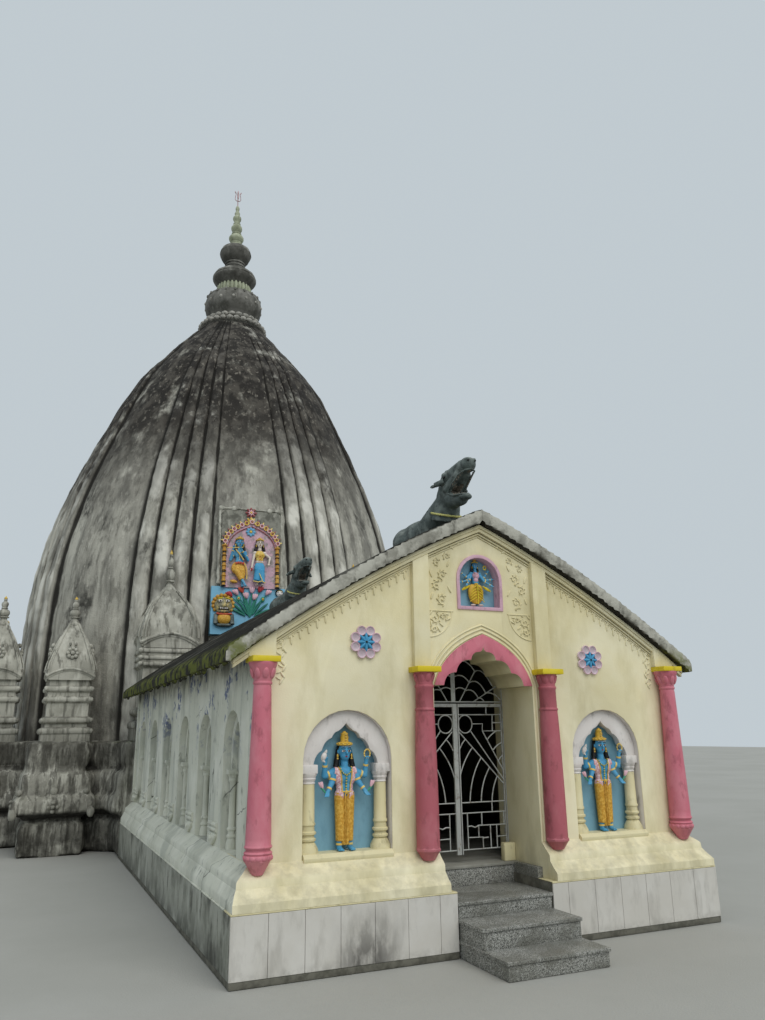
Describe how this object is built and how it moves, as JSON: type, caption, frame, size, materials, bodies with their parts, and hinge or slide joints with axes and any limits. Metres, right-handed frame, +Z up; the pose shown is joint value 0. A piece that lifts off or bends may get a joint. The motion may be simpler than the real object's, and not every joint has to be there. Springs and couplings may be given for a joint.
{
  "type": "hindu temple with a ribbed spire and a gabled prayer hall",
  "caption": "Hindu temple: ribbed curving spire with pot finial on a moulded stone base ringed by small shrines, and a gabled prayer hall with arched gateway in front.",
  "frame": {"origin": "on the ground under the spire's axis, on the flat underside of the sanctum floor", "axes": "+Z up; the hall and its gate face -Y; +X is to the right of someone who faces the gate's inner side from the sanctum, that is to the right in the front view"},
  "size_m": [9.72, 17.24, 15.74],
  "materials": {
    "stone": "weathered carved stone, black with algae in its recesses",
    "lime_mortar": "old lime render over brick, streaked grey and black",
    "cream_plaster": "pale yellow painted plaster",
    "pale_plaster": "faded blue-grey limewash with cracks and stains",
    "concrete": "unpainted weathered concrete with moss",
    "tile": "glazed off-white wall tile",
    "granite": "speckled grey granite, worn",
    "pink_paint": "gloss pink enamel over plaster",
    "painted_stucco": "modelled stucco painted in blue, gold and white",
    "beast_paint": "grey-green painted concrete",
    "steel": "pale grey painted mild steel"
  },
  "bodies": {
    "root": {"tower_base_left": "stone", "tower_base_right": "stone", "sanctum_floor": "stone", "spire_front_left": "lime_mortar", "spire_rear_left": "lime_mortar", "spire_front_right": "lime_mortar", "spire_rear_right": "lime_mortar", "finial": "lime_mortar", "trident": "steel", "corner_shrine_front_left": "lime_mortar", "corner_shrine_rear_left": "lime_mortar", "corner_shrine_front_right": "lime_mortar", "corner_shrine_rear_right": "lime_mortar", "face_shrine_front_left": "lime_mortar", "face_shrine_rear_left": "lime_mortar", "face_shrine_front_right": "lime_mortar", "face_shrine_rear_right": "lime_mortar", "side_shrine_front_left": "lime_mortar", "side_shrine_rear_left": "lime_mortar", "side_shrine_front_right": "lime_mortar", "side_shrine_rear_right": "lime_mortar", "spire_relief": "painted_stucco", "hall_plinth_left": "tile", "hall_plinth_right": "tile", "hall_floor": "granite", "entrance_step_1": "granite", "entrance_step_2": "granite", "entrance_step_3": "granite", "roof_left": "concrete", "roof_right": "concrete", "front_wall_left": "cream_plaster", "front_wall_right": "cream_plaster", "front_gable": "cream_plaster", "side_wall_left": "pale_plaster", "side_wall_right": "pale_plaster", "rear_wall_left": "cream_plaster", "rear_wall_right": "cream_plaster", "rear_wall_head": "cream_plaster", "cusped_arch": "pink_paint", "corner_column_left": "pink_paint", "corner_column_right": "pink_paint", "door_column_left": "pink_paint", "door_column_right": "pink_paint", "gate_frame": "steel", "guardian_left": "painted_stucco", "guardian_right": "painted_stucco", "roof_beast_front": "beast_paint", "roof_beast_rear": "beast_paint"},
    "gate_left": {"gate_leaf_left": "steel"},
    "gate_right": {"gate_leaf_right": "steel"}
  },
  "joints": [
    {"name": "gate_left_swing", "type": "hinge", "parent": "root", "child": "gate_left", "pos_m": [-0.511, -10.8715, 1.35], "axis": [0, 0, 1], "range_deg": [0, 90]},
    {"name": "gate_right_swing", "type": "hinge", "parent": "root", "child": "gate_right", "pos_m": [0.511, -10.8715, 1.35], "axis": [0, 0, -1], "range_deg": [0, 90]}
  ]
}
